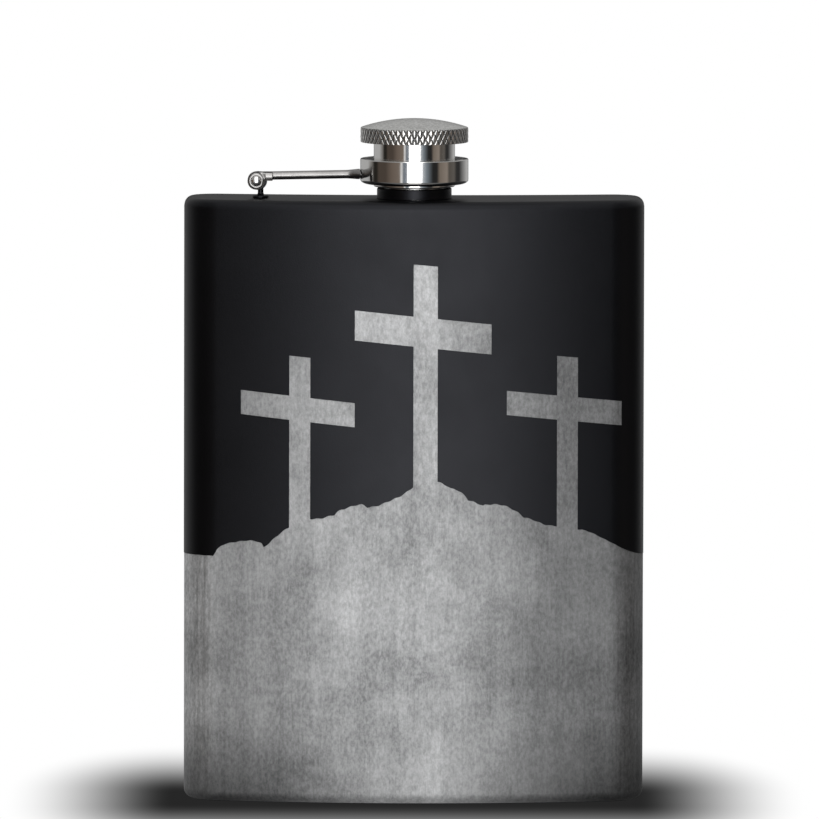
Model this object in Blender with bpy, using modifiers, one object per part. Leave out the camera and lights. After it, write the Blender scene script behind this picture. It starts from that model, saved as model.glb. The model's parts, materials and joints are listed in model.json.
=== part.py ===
"""Hip flask with a captive screw cap, built as an assembly of separate parts.

Metres, +Z up. The flask stands on z = 0 with its convex front towards -Y and its
hinge towards -X. The origin is the centre of its footprint.
"""

import math

import bmesh
import bpy
from mathutils import Matrix, Vector

MM = 0.001

# Body: a curved tube of steel sheet between two pressed plates
BODY_WIDTH = 95.0 * MM
BODY_THICKNESS = 23.0 * MM
BODY_HEIGHT = 124.5 * MM
FRONT_RADIUS = 150.0 * MM
BACK_RADIUS = 250.0 * MM
FRONT_CORNER_RADIUS = 9.5 * MM
BACK_CORNER_RADIUS = 6.5 * MM
SHEET = 0.6 * MM
PLATE = 0.8 * MM
TOP_EDGE_RADIUS = 1.9 * MM
BOTTOM_EDGE_RADIUS = 2.0 * MM
PLATE_FLANGE = 1.0 * MM

# Neck and its thread
THREAD_CREST_RADIUS = 6.8 * MM
THREAD_DEPTH = 0.5 * MM
THREAD_PITCH = 1.5 * MM
TURNS_TO_RELEASE = 2.5
RIDGE_ROOT_WIDTH = 0.8 * MM
RIDGE_CREST_WIDTH = 0.35 * MM
NECK_WALL = 0.8 * MM
NECK_SHOULDER = 0.9 * MM
NECK_BASE_TOP = 2.15 * MM
NECK_TAIL = 0.5 * MM

# Screw cap: an outer sleeve, a threaded insert, a seal and a knurled head
INSERT_WALL = 0.6 * MM
INSERT_LEAD_IN = 1.0 * MM
INSERT_ROOF = 0.8 * MM
SLEEVE_WALL = 0.675 * MM
SLEEVE_FLANGE_WIDTH = 1.2 * MM
SLEEVE_FLANGE = 0.45 * MM
SEAL = 1.0 * MM
HEAD_HEIGHT = 3.06 * MM
HEAD_SOCKET_DEPTH = 2.2 * MM
HEAD_EDGE = 0.15 * MM
DOME_HEIGHT = 1.8 * MM

# Captive collar round the sleeve
COLLAR_WALL = 1.275 * MM
COLLAR_FLOOR = 0.4 * MM
COLLAR_CORNER_WIDTH = 1.8 * MM
COLLAR_CORNER_HEIGHT = 0.9 * MM
RETAINING_RING = 0.4 * MM
RING_SEAT_WIDTH = 0.4 * MM
LIP_SHOWN = 0.55 * MM
SHANK_SHOWN = 3.4 * MM

# Hinge and arm
ARM_REACH = 32.6 * MM
HINGE_HEIGHT = 3.6 * MM
PIN_RADIUS = 0.7 * MM
PIN_HEAD_RADIUS = 1.05 * MM
PIN_HEAD = 0.5 * MM
EYE_RADIUS = 1.9 * MM
EYE_OFFSET = 0.35 * MM
EYE_LENGTH = 1.6 * MM
STEM_RADIUS = 0.58 * MM
STEM_OFFSET = 0.9 * MM
FOOT_RADIUS = 1.7 * MM
FOOT = 0.5 * MM
CHEEK_RADIUS = 1.8 * MM
CHEEK = 0.9 * MM
BRIDGE = 1.0 * MM
ROD_RADIUS = 0.875 * MM
ROD_DROP = 0.4 * MM
FLARE_LENGTH = 4.0 * MM
FLARE_HALF_WIDTH = 4.4 * MM
FLARE_HALF_HEIGHT = 1.2 * MM

# Clearances
SEAT_GAP = 0.1 * MM
RUNNING_GAP = 0.08 * MM
THREAD_GAP = 0.2 * MM
COLLAR_GAP = 0.2 * MM
FLANGE_GAP = 0.3 * MM
TRAVEL_SPARE = 0.14 * MM
BRAZE_GAP = 0.15 * MM

# Facets
TURN_STEPS = 64
HINGE_STEPS = 24
THREAD_STEPS = 32
ROD_STEPS = 20

# Sizes that follow from the ones above
CAP_LIFT = THREAD_PITCH * TURNS_TO_RELEASE
THREAD_ROOT_RADIUS = THREAD_CREST_RADIUS - THREAD_DEPTH
BORE_RADIUS = THREAD_ROOT_RADIUS - NECK_WALL
NECK_BASE_RADIUS = THREAD_CREST_RADIUS + NECK_SHOULDER
TAIL_RADIUS = BORE_RADIUS + NECK_WALL
SLEEVE_BOTTOM = NECK_BASE_TOP + FLANGE_GAP
INSERT_BOTTOM = SLEEVE_BOTTOM + SEAT_GAP
NECK_TOP = INSERT_BOTTOM + CAP_LIFT + INSERT_LEAD_IN - THREAD_GAP
INSERT_BORE = THREAD_CREST_RADIUS + THREAD_GAP
INSERT_RIDGE = THREAD_ROOT_RADIUS + THREAD_GAP
INSERT_RADIUS = INSERT_BORE + INSERT_WALL
SEAL_BOTTOM = NECK_TOP + SEAT_GAP
INSERT_CEILING = SEAL_BOTTOM + SEAL + SEAT_GAP
INSERT_TOP = INSERT_CEILING + INSERT_ROOF
SLEEVE_BORE = INSERT_RADIUS + SEAT_GAP
SLEEVE_RADIUS = SLEEVE_BORE + SLEEVE_WALL
FLANGE_RADIUS = SLEEVE_RADIUS + SLEEVE_FLANGE_WIDTH
COLLAR_BOTTOM = SLEEVE_BOTTOM + LIP_SHOWN
FLANGE_BOTTOM = COLLAR_BOTTOM + COLLAR_FLOOR + SEAT_GAP
RING_BOTTOM = FLANGE_BOTTOM + SLEEVE_FLANGE + CAP_LIFT + TRAVEL_SPARE
COLLAR_TOP = RING_BOTTOM + RETAINING_RING
COLLAR_HOLE = SLEEVE_RADIUS + COLLAR_GAP
COLLAR_CAVITY = FLANGE_RADIUS + FLANGE_GAP
COLLAR_RADIUS = COLLAR_CAVITY + COLLAR_WALL
HEAD_RADIUS = COLLAR_RADIUS
HEAD_BOTTOM = COLLAR_TOP + SHANK_SHOWN
SOCKET_RADIUS = SLEEVE_RADIUS + SEAT_GAP
SLEEVE_TOP = HEAD_BOTTOM + HEAD_SOCKET_DEPTH - SEAT_GAP
RIDGE_START = INSERT_BOTTOM + INSERT_LEAD_IN + RIDGE_ROOT_WIDTH / 2
BRIDGE_START = EYE_RADIUS + EYE_OFFSET + SEAT_GAP
ROD_RISE = CHEEK_RADIUS - ROD_RADIUS + SEAT_GAP
CHEEK_START = EYE_LENGTH / 2 + SEAT_GAP
CHEEK_END = CHEEK_START + CHEEK


def section_depth():
    """Front and back of the body section, measured from the middle of its thickness."""
    half_width = BODY_WIDTH / 2
    corner_x = half_width - BACK_CORNER_RADIUS
    centre_radius = BACK_RADIUS + BACK_CORNER_RADIUS
    back_centre = BODY_THICKNESS / 2 + BACK_RADIUS
    corner_y = back_centre - math.sqrt(centre_radius**2 - corner_x**2)
    return -BODY_THICKNESS / 2, corner_y + BACK_CORNER_RADIUS


FRONT_Y, BACK_Y = section_depth()
NECK_Y = -(FRONT_Y + BACK_Y) / 2
NECK_FOOT = Vector((0, NECK_Y, BODY_HEIGHT))
HINGE = NECK_FOOT + Vector((-ARM_REACH, 0, HINGE_HEIGHT))


def arc(centre, radius, start, end, steps):
    """Points on an arc from one angle to another, both in degrees, ends included."""
    points = []
    for i in range(steps + 1):
        angle = math.radians(start + (end - start) * i / steps)
        x = centre[0] + radius * math.cos(angle)
        y = centre[1] + radius * math.sin(angle)
        points.append((x, y))
    return points


def body_outline(inset=0.0):
    """The body section, moved in by inset: anticlockwise from above, from front centre."""
    front = FRONT_RADIUS - inset
    back = BACK_RADIUS + inset
    front_corner = FRONT_CORNER_RADIUS - inset
    back_corner = BACK_CORNER_RADIUS - inset
    front_centre = -BODY_THICKNESS / 2 + FRONT_RADIUS
    back_centre = BODY_THICKNESS / 2 + BACK_RADIUS
    front_x = BODY_WIDTH / 2 - FRONT_CORNER_RADIUS
    back_x = BODY_WIDTH / 2 - BACK_CORNER_RADIUS
    front_y = front_centre - math.sqrt((front - front_corner) ** 2 - front_x**2)
    back_y = back_centre - math.sqrt((back + back_corner) ** 2 - back_x**2)
    front_turn = math.degrees(math.asin(front_x / (front - front_corner)))
    back_turn = math.degrees(math.asin(back_x / (back + back_corner)))
    half = arc((0, front_centre), front, -90, -90 + front_turn, 10)
    half += arc((front_x, front_y), front_corner, -90 + front_turn, 0, 8)[1:]
    half += arc((back_x, back_y), back_corner, 0, 90 + back_turn, 8)
    half += arc((0, back_centre), back, -90 + back_turn, -90, 8)[1:]
    mirrored = [(-x, y) for x, y in reversed(half[1:-1])]
    return [(x, y + NECK_Y) for x, y in half + mirrored]


def clear_scene():
    for obj in list(bpy.data.objects):
        bpy.data.objects.remove(obj, do_unlink=True)


def new_collection(name):
    collection = bpy.data.collections.new(name)
    bpy.context.scene.collection.children.link(collection)
    return collection


def material(name, colour, roughness, metallic):
    made = bpy.data.materials.new(name)
    made.use_nodes = True
    shader = made.node_tree.nodes["Principled BSDF"]
    shader.inputs["Base Color"].default_value = (*colour, 1)
    shader.inputs["Roughness"].default_value = roughness
    shader.inputs["Metallic"].default_value = metallic
    return made


def world_place(obj):
    """Where an object sits in the world: every parent here is only moved, never turned."""
    place = obj.location.copy()
    while obj.parent:
        obj = obj.parent
        place += obj.location
    return place


def add_empty(name, place, parent=None):
    """An empty on a joint's axis."""
    empty = bpy.data.objects.new(name, None)
    empty.empty_display_size = 0.005
    PARTS.objects.link(empty)
    empty.parent = parent
    empty.location = place - world_place(parent) if parent else place
    return empty


def add_part(name, mesh, finish, place, parent=None):
    """A named part whose mesh is drawn about place, a point in the world."""
    mesh.name = name
    mesh.materials.append(finish)
    mesh.shade_smooth()
    mesh.set_sharp_from_angle(angle=math.radians(35))
    part = bpy.data.objects.new(name, mesh)
    PARTS.objects.link(part)
    part.parent = parent
    part.location = place - world_place(parent) if parent else place
    return part


def add_tool(name, mesh, place):
    """A helper solid that a Boolean adds or takes away."""
    tool = bpy.data.objects.new(name, mesh)
    TOOLS.objects.link(tool)
    tool.location = place
    tool.hide_render = True
    tool.display_type = "WIRE"
    return tool


def boolean(part, tool, operation):
    modifier = part.modifiers.new(f"{operation.lower()} {tool.name}", "BOOLEAN")
    modifier.operation = operation
    modifier.solver = "EXACT"
    modifier.object = tool


def cylinder(radius, start, end, steps, axis="Z", centre=(0, 0)):
    """A cylinder along an axis from start to end, centred at a point across that axis."""
    mesh = bpy.data.meshes.new("cylinder")
    build = bmesh.new()
    bmesh.ops.create_cone(
        build, cap_ends=True, segments=steps, radius1=radius, radius2=radius, depth=end - start
    )
    bmesh.ops.translate(build, verts=build.verts, vec=(0, 0, (start + end) / 2))
    if axis == "Y":
        bmesh.ops.rotate(build, verts=build.verts, matrix=Matrix.Rotation(math.radians(-90), 3, "X"))
        bmesh.ops.translate(build, verts=build.verts, vec=(centre[0], 0, centre[1]))
    else:
        bmesh.ops.translate(build, verts=build.verts, vec=(centre[0], centre[1], 0))
    build.to_mesh(mesh)
    build.free()
    return mesh


def profile_mesh(points, closed):
    """A turned part's half section, as (radius, height) points joined by edges."""
    mesh = bpy.data.meshes.new("profile")
    edges = [(i, i + 1) for i in range(len(points) - 1)]
    if closed:
        edges.append((len(points) - 1, 0))
    mesh.from_pydata([(r, 0, z) for r, z in points], edges, [])
    return mesh


def turn(part, steps):
    screw = part.modifiers.new("turn", "SCREW")
    screw.angle = math.tau
    screw.steps = steps
    screw.render_steps = steps
    screw.use_merge_vertices = True
    screw.merge_threshold = 0.00001
    screw.use_smooth_shade = True


def helix_ridge(name, root, crest, first, turns, place):
    """A thread ridge as a helper solid, from the first height up, its root inside the wall."""
    root_half = RIDGE_ROOT_WIDTH / 2
    crest_half = RIDGE_CREST_WIDTH / 2
    points = [
        (root, first + root_half),
        (crest, first + crest_half),
        (crest, first - crest_half),
        (root, first - root_half),
    ]
    if crest < root:
        points.reverse()
    guide = add_tool(name + "_profile", profile_mesh(points, closed=True), place)
    screw = guide.modifiers.new("helix", "SCREW")
    screw.angle = math.tau * turns
    screw.screw_offset = THREAD_PITCH * turns
    screw.steps = round(THREAD_STEPS * turns)
    screw.render_steps = screw.steps
    graph = bpy.context.evaluated_depsgraph_get()
    mesh = bpy.data.meshes.new_from_object(guide.evaluated_get(graph))
    build = bmesh.new()
    build.from_mesh(mesh)
    ends = [edge for edge in build.edges if edge.is_boundary]
    bmesh.ops.holes_fill(build, edges=ends)
    bmesh.ops.recalc_face_normals(build, faces=build.faces)
    build.to_mesh(mesh)
    build.free()
    bpy.data.objects.remove(guide)
    return add_tool(name, mesh, place)


def thicken(part, thickness):
    """Sheet thickness laid inside the drawn surface."""
    solidify = part.modifiers.new("sheet", "SOLIDIFY")
    solidify.thickness = thickness
    solidify.offset = -1
    solidify.use_even_offset = True


def skin_mesh(levels, capped):
    """A skin through the body section at each (height, inset), upwards or downwards."""
    build = bmesh.new()
    rings = []
    for height, inset in levels:
        outline = body_outline(inset)
        if levels[-1][0] < levels[0][0]:
            outline.reverse()
        rings.append([build.verts.new((x, y, height)) for x, y in outline])
    for low, high in zip(rings, rings[1:]):
        for i in range(len(low)):
            after = (i + 1) % len(low)
            build.faces.new((low[i], low[after], high[after], high[i]))
    if capped:
        build.faces.new(rings[-1])
    mesh = bpy.data.meshes.new("skin")
    build.to_mesh(mesh)
    build.free()
    return mesh


def make_body_shell():
    """The wrapped tube of sheet, open at both ends."""
    low = BOTTOM_EDGE_RADIUS + PLATE_FLANGE + SEAT_GAP / 2
    high = BODY_HEIGHT - TOP_EDGE_RADIUS - PLATE_FLANGE - SEAT_GAP / 2
    mesh = skin_mesh([(low, 0), (high, 0)], capped=False)
    thicken(add_part("body_shell", mesh, COATED, Vector()), SHEET)


def make_plate(name, face, outward, edge_radius, steps):
    """A pressed pan: a flat face, a rounded edge and a short flange that meets the tube."""
    turn_start = face - outward * edge_radius
    levels = [(turn_start - outward * (PLATE_FLANGE - SEAT_GAP / 2), 0)]
    for i in range(steps + 1):
        angle = math.radians(90 * i / steps)
        height = turn_start + outward * edge_radius * math.sin(angle)
        levels.append((height, edge_radius * (1 - math.cos(angle))))
    plate = add_part(name, skin_mesh(levels, capped=True), COATED, Vector())
    thicken(plate, PLATE)
    return plate


def make_plates():
    top = make_plate("top_plate", BODY_HEIGHT, 1, TOP_EDGE_RADIUS, 4)
    hole = cylinder(TAIL_RADIUS + SEAT_GAP, -3 * PLATE, PLATE, TURN_STEPS)
    boolean(top, add_tool("neck_hole", hole, NECK_FOOT), "DIFFERENCE")
    make_plate("bottom_plate", 0, -1, BOTTOM_EDGE_RADIUS, 5)


def make_neck():
    """The threaded spout, with a shoulder on the plate and a tail through its hole."""
    bevel = SEAT_GAP * 2
    profile = [
        (THREAD_ROOT_RADIUS - bevel, NECK_TOP),
        (THREAD_ROOT_RADIUS, NECK_TOP - bevel),
        (THREAD_ROOT_RADIUS, NECK_BASE_TOP),
        (NECK_BASE_RADIUS, NECK_BASE_TOP),
        (NECK_BASE_RADIUS, SEAT_GAP),
        (TAIL_RADIUS, SEAT_GAP),
        (TAIL_RADIUS, -PLATE - NECK_TAIL),
        (BORE_RADIUS, -PLATE - NECK_TAIL),
        (BORE_RADIUS, NECK_TOP - bevel),
        (BORE_RADIUS + bevel, NECK_TOP),
    ]
    neck = add_part("neck", profile_mesh(profile, closed=True), COATED, NECK_FOOT)
    turn(neck, TURN_STEPS)
    first = RIDGE_START - THREAD_PITCH / 2
    last = NECK_TOP - bevel - RIDGE_ROOT_WIDTH / 2
    turns = (last - first) / THREAD_PITCH
    root = THREAD_ROOT_RADIUS - NECK_WALL / 2
    ridge = helix_ridge("neck_ridge", root, THREAD_CREST_RADIUS, first, turns, NECK_FOOT)
    boolean(neck, ridge, "UNION")


def make_hinge_post():
    """The eye, stem and foot that carry the hinge pin."""
    half = EYE_LENGTH / 2
    eye = cylinder(EYE_RADIUS, -half, half, HINGE_STEPS, "Y", (EYE_OFFSET, 0))
    post = add_part("hinge_post", eye, COATED, HINGE)
    foot_z = SEAT_GAP - HINGE_HEIGHT
    centre = (STEM_OFFSET, 0)
    stem = cylinder(STEM_RADIUS, foot_z + FOOT / 2, -PIN_RADIUS * 2, HINGE_STEPS, "Z", centre)
    foot = cylinder(FOOT_RADIUS, foot_z, foot_z + FOOT, HINGE_STEPS, "Z", centre)
    hole = cylinder(PIN_RADIUS + RUNNING_GAP, -EYE_LENGTH, EYE_LENGTH, HINGE_STEPS, "Y")
    boolean(post, add_tool("post_stem", stem, HINGE), "UNION")
    boolean(post, add_tool("post_foot", foot, HINGE), "UNION")
    boolean(post, add_tool("post_pin_hole", hole, HINGE), "DIFFERENCE")


def make_hinge_pin():
    """A rivet through both cheeks and the eye, with a domed head at each end."""
    reach = CHEEK_END + SEAT_GAP
    dome = [
        (PIN_HEAD_RADIUS * math.sin(a), reach + PIN_HEAD * math.cos(a))
        for a in (math.radians(90 * i / 4) for i in range(5))
    ]
    upper = dome + [(PIN_RADIUS, reach)]
    lower = [(r, -z) for r, z in reversed(upper)]
    pin = add_part("hinge_pin", profile_mesh(upper + lower, closed=False), POLISHED, HINGE)
    turn(pin, HINGE_STEPS)
    pin.rotation_euler = (math.radians(90), 0, 0)


def rod_mesh(start, end):
    """The arm's rod, drawn about the hinge: round, then fanned out to meet the collar."""
    stations = 14
    rings = []
    for i in range(stations + 1):
        x = start + (end - start) * (i / stations) ** 0.5
        flare = max(0.0, 1 - (end - x) / FLARE_LENGTH)
        half_width = ROD_RADIUS + (FLARE_HALF_WIDTH - ROD_RADIUS) * flare**2
        half_height = ROD_RADIUS + (FLARE_HALF_HEIGHT - ROD_RADIUS) * flare
        z = ROD_RISE + ROD_DROP * (x - start) / (end - start)
        ring = []
        for k in range(ROD_STEPS):
            angle = math.tau * k / ROD_STEPS
            ring.append((x, half_width * math.cos(angle), z + half_height * math.sin(angle)))
        rings.append(ring)
    mesh = bpy.data.meshes.new("rod")
    build = bmesh.new()
    verts = [[build.verts.new(p) for p in ring] for ring in rings]
    for low, high in zip(verts, verts[1:]):
        for k in range(ROD_STEPS):
            after = (k + 1) % ROD_STEPS
            build.faces.new((low[k], low[after], high[after], high[k]))
    build.faces.new(verts[0])
    build.faces.new(verts[-1])
    bmesh.ops.recalc_face_normals(build, faces=build.faces)
    build.to_mesh(mesh)
    build.free()
    return mesh


def fork_mesh():
    """Both cheeks and the bridge between them as one block, before its slot is cut."""
    end = BRIDGE_START + BRIDGE
    low = CHEEK_RADIUS - 2 * ROD_RADIUS
    meets_bar = 360 + math.degrees(math.asin(low / CHEEK_RADIUS))
    outline = arc((0, 0), CHEEK_RADIUS, 90, meets_bar, 22) + [(end, low), (end, CHEEK_RADIUS)]
    mesh = bpy.data.meshes.new("fork")
    build = bmesh.new()
    side = build.faces.new([build.verts.new((x, -CHEEK_END, z)) for x, z in outline])
    grown = bmesh.ops.extrude_face_region(build, geom=[side])
    moved = [item for item in grown["geom"] if isinstance(item, bmesh.types.BMVert)]
    bmesh.ops.translate(build, verts=moved, vec=(0, 2 * CHEEK_END, 0))
    bmesh.ops.recalc_face_normals(build, faces=build.faces)
    build.to_mesh(mesh)
    build.free()
    return mesh


def make_arm(parent):
    """The fork that straddles the eye, the rod, and the flare brazed to the collar."""
    arm = add_part("cap_arm", fork_mesh(), POLISHED, HINGE, parent)
    slot = cylinder(BRIDGE_START, -CHEEK_START, CHEEK_START, TURN_STEPS, "Y")
    boolean(arm, add_tool("fork_slot", slot, HINGE), "DIFFERENCE")
    rod = rod_mesh(BRIDGE_START + BRIDGE / 2, ARM_REACH - COLLAR_RADIUS + COLLAR_WALL)
    boolean(arm, add_tool("arm_rod", rod, HINGE), "UNION")
    hole = cylinder(PIN_RADIUS + RUNNING_GAP, -2 * CHEEK_END, 2 * CHEEK_END, HINGE_STEPS, "Y")
    boolean(arm, add_tool("arm_pin_hole", hole, HINGE), "DIFFERENCE")
    seat = cylinder(COLLAR_RADIUS + BRAZE_GAP, 0, 2 * COLLAR_TOP, TURN_STEPS)
    boolean(arm, add_tool("collar_seat", seat, NECK_FOOT), "DIFFERENCE")


def make_collar(parent):
    """The cup that keeps the cap on the arm, with a rounded lower corner."""
    corner = [
        (
            COLLAR_RADIUS - COLLAR_CORNER_WIDTH * (1 - math.cos(a)),
            COLLAR_BOTTOM + COLLAR_CORNER_HEIGHT * (1 - math.sin(a)),
        )
        for a in (math.radians(90 * i / 5) for i in range(6))
    ]
    seat_radius = COLLAR_CAVITY + RING_SEAT_WIDTH
    seat_z = RING_BOTTOM - SEAT_GAP
    profile = [
        (COLLAR_RADIUS, COLLAR_TOP),
        *corner,
        (COLLAR_HOLE, COLLAR_BOTTOM),
        (COLLAR_HOLE, COLLAR_BOTTOM + COLLAR_FLOOR),
        (COLLAR_CAVITY, COLLAR_BOTTOM + COLLAR_FLOOR),
        (COLLAR_CAVITY, seat_z),
        (seat_radius, seat_z),
        (seat_radius, COLLAR_TOP),
    ]
    mesh = profile_mesh(profile, closed=True)
    turn(add_part("captive_collar", mesh, POLISHED, NECK_FOOT, parent), TURN_STEPS)


def make_retaining_ring(parent):
    """The flat ring pressed into the collar's mouth above the sleeve's flange."""
    outer = COLLAR_CAVITY + RING_SEAT_WIDTH - SEAT_GAP
    profile = [
        (outer, COLLAR_TOP),
        (outer, RING_BOTTOM),
        (COLLAR_HOLE, RING_BOTTOM),
        (COLLAR_HOLE, COLLAR_TOP),
    ]
    mesh = profile_mesh(profile, closed=True)
    turn(add_part("retaining_ring", mesh, POLISHED, NECK_FOOT, parent), TURN_STEPS)


def make_sleeve(parent):
    """The polished shank, with the flange that the collar holds."""
    profile = [
        (SLEEVE_RADIUS, SLEEVE_TOP),
        (SLEEVE_RADIUS, FLANGE_BOTTOM + SLEEVE_FLANGE),
        (FLANGE_RADIUS, FLANGE_BOTTOM + SLEEVE_FLANGE),
        (FLANGE_RADIUS, FLANGE_BOTTOM),
        (SLEEVE_RADIUS, FLANGE_BOTTOM),
        (SLEEVE_RADIUS, SLEEVE_BOTTOM),
        (SLEEVE_BORE, SLEEVE_BOTTOM),
        (SLEEVE_BORE, SLEEVE_TOP),
    ]
    mesh = profile_mesh(profile, closed=True)
    turn(add_part("cap_sleeve", mesh, POLISHED, NECK_FOOT, parent), TURN_STEPS)


def make_insert(parent):
    """The threaded cup pressed into the sleeve."""
    profile = [
        (0, INSERT_TOP),
        (INSERT_RADIUS, INSERT_TOP),
        (INSERT_RADIUS, INSERT_BOTTOM),
        (INSERT_BORE, INSERT_BOTTOM),
        (INSERT_BORE, INSERT_CEILING),
        (0, INSERT_CEILING),
    ]
    insert = add_part("thread_insert", profile_mesh(profile, closed=False), STEEL, NECK_FOOT, parent)
    turn(insert, TURN_STEPS)
    last = NECK_TOP - RIDGE_ROOT_WIDTH / 2
    turns = (last - RIDGE_START) / THREAD_PITCH
    root = INSERT_BORE + INSERT_WALL / 2
    ridge = helix_ridge("insert_ridge", root, INSERT_RIDGE, RIDGE_START, turns, NECK_FOOT)
    boolean(insert, ridge, "UNION")


def make_seal(parent):
    """The soft disc that the neck's rim presses against."""
    seal = cylinder(THREAD_CREST_RADIUS, SEAL_BOTTOM, SEAL_BOTTOM + SEAL, TURN_STEPS)
    add_part("cap_seal", seal, RUBBER, NECK_FOOT, parent)


def make_head(parent):
    """The knurled grip: a straight rim under a shallow dome, bored to take the sleeve."""
    rim_z = HEAD_BOTTOM + HEAD_HEIGHT
    half_chord = HEAD_RADIUS - HEAD_EDGE
    ball = (half_chord**2 + DOME_HEIGHT**2) / (2 * DOME_HEIGHT)
    span = math.asin(half_chord / ball)
    dome = [
        (ball * math.sin(span * i / 8), rim_z + DOME_HEIGHT - ball * (1 - math.cos(span * i / 8)))
        for i in range(9)
    ]
    socket_top = HEAD_BOTTOM + HEAD_SOCKET_DEPTH
    profile = dome + [
        (HEAD_RADIUS, rim_z - HEAD_EDGE),
        (HEAD_RADIUS, HEAD_BOTTOM + HEAD_EDGE),
        (HEAD_RADIUS - HEAD_EDGE, HEAD_BOTTOM),
        (SOCKET_RADIUS, HEAD_BOTTOM),
        (SOCKET_RADIUS, socket_top),
        (0, socket_top),
    ]
    head = add_part("cap_head", profile_mesh(profile, closed=False), SATIN, NECK_FOOT, parent)
    turn(head, TURN_STEPS)


clear_scene()
PARTS = new_collection("hip_flask")
TOOLS = new_collection("cutters")
TOOLS.hide_render = True
COATED = material("black_powder_coat", (0.03, 0.03, 0.034), 0.55, 0.0)
POLISHED = material("polished_steel", (0.75, 0.74, 0.72), 0.08, 1.0)
SATIN = material("satin_steel", (0.62, 0.62, 0.60), 0.35, 1.0)
STEEL = material("plain_steel", (0.6, 0.6, 0.6), 0.3, 1.0)
RUBBER = material("seal_rubber", (0.75, 0.74, 0.7), 0.6, 0.0)

make_body_shell()
make_plates()
make_neck()
make_hinge_post()
make_hinge_pin()
arm_axis = add_empty("arm_swing_axis", HINGE)
make_arm(arm_axis)
make_collar(arm_axis)
make_retaining_ring(arm_axis)
rise_axis = add_empty("cap_rise_axis", NECK_FOOT, arm_axis)
make_seal(rise_axis)
turn_axis = add_empty("cap_turn_axis", NECK_FOOT, rise_axis)
make_sleeve(turn_axis)
make_insert(turn_axis)
make_head(turn_axis)
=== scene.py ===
"""The looks of a powder-coated hip flask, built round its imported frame.

Metres, +Z up. The convex front faces -Y, the hinge is towards -X, and the flask
stands on z = 0. The front carries a laser engraving: three plain crosses on a hill,
where the coat is cut away and the brushed steel under it shows.
"""

import json
import math

import bmesh
import bpy
import numpy as np
from mathutils import Matrix, Vector
from mathutils.geometry import delaunay_2d_cdt


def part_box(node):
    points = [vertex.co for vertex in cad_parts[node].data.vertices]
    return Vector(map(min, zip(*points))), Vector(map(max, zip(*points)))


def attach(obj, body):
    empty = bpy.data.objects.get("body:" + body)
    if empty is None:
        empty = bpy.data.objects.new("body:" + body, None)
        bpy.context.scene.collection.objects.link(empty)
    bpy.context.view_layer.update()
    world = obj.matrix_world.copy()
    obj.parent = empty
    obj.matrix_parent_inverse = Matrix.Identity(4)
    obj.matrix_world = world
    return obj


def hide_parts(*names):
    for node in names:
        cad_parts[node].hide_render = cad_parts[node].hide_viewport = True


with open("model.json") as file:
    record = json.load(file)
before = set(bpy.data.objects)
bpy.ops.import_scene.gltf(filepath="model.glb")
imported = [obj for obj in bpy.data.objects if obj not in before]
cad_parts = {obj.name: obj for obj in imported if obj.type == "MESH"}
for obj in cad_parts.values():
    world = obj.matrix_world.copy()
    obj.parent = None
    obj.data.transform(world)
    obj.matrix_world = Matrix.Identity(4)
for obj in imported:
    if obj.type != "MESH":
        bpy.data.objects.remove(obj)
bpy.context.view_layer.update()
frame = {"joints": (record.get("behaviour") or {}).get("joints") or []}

MM = 0.001


def mm(*lengths):
    """Lengths given in millimetres."""
    return tuple(length * MM for length in lengths)


# Body section: four arcs and a short straight side
FRONT_RADIUS = 150 * MM
BACK_RADIUS = 250 * MM
FRONT_CORNER = 9.5 * MM
BACK_CORNER = 6.5 * MM
TOP_EDGE = 1.9 * MM
BOTTOM_EDGE = 2.0 * MM
SHEET = 0.6 * MM
PLATE = 0.8 * MM
SEAM_ABOVE_BOTTOM_EDGE = 1.05 * MM
SEAM_BELOW_TOP_EDGE = 1.05 * MM
SEAM_CLEAR = 0.05 * MM
COAT_RISE = 0.07 * MM
COAT = 0.12 * MM
FLAT_BAND = 0.1 * MM
SHARP = math.radians(38)

# Neck and cap, as heights above the top of the body and radii
NECK_BASE = mm(0.1, 2.15)
NECK_BASE_RADIUS = 7.7 * MM
NECK_ROOT_RADIUS = 6.3 * MM
NECK_CREST_RADIUS = 6.8 * MM
NECK_BORE_RADIUS = 5.5 * MM
NECK_HOLE_RADIUS = 6.4 * MM
NECK_TAIL = -1.3 * MM
NECK_TOP = 7.1 * MM
THREAD_PITCH = 1.5 * MM
THREAD_ROOT_WIDTH = 0.8 * MM
THREAD_CREST_WIDTH = 0.35 * MM
THREAD_SINK = 0.3 * MM
NECK_THREAD = mm(3.2, 6.5)
INSERT_THREAD = mm(3.95, 6.7)
INSERT_RADIUS = 7.6 * MM
INSERT_BORE_RADIUS = 7.0 * MM
INSERT_CREST_RADIUS = 6.5 * MM
INSERT_BOTTOM = 2.55 * MM
INSERT_CEILING = 8.3 * MM
INSERT_TOP = 9.1 * MM
SEAL_RADIUS = 6.8 * MM
SEAL_HEIGHTS = mm(7.2, 8.2)
SLEEVE_RADIUS = 8.375 * MM
SLEEVE_BORE_RADIUS = 7.7 * MM
SLEEVE_HEIGHTS = mm(2.45, 13.74)
FLANGE_RADIUS = 9.575 * MM
FLANGE_HEIGHTS = mm(3.5, 3.95)
COLLAR_RADIUS = 11.15 * MM
COLLAR_HOLE_RADIUS = 8.575 * MM
COLLAR_CAVITY_RADIUS = 9.875 * MM
COLLAR_HEIGHTS = mm(3.0, 8.24)
COLLAR_FLOOR = 0.4 * MM
COLLAR_CORNER_WIDTH = 1.8 * MM
COLLAR_CORNER_HEIGHT = 0.9 * MM
RING_RADIUS = 10.175 * MM
RING_BOTTOM = 7.84 * MM
RING_SEAT_RADIUS = 10.275 * MM
HEAD_RADIUS = 11.15 * MM
HEAD_HEIGHTS = mm(11.64, 14.7)
HEAD_EDGE = 0.15 * MM
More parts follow.
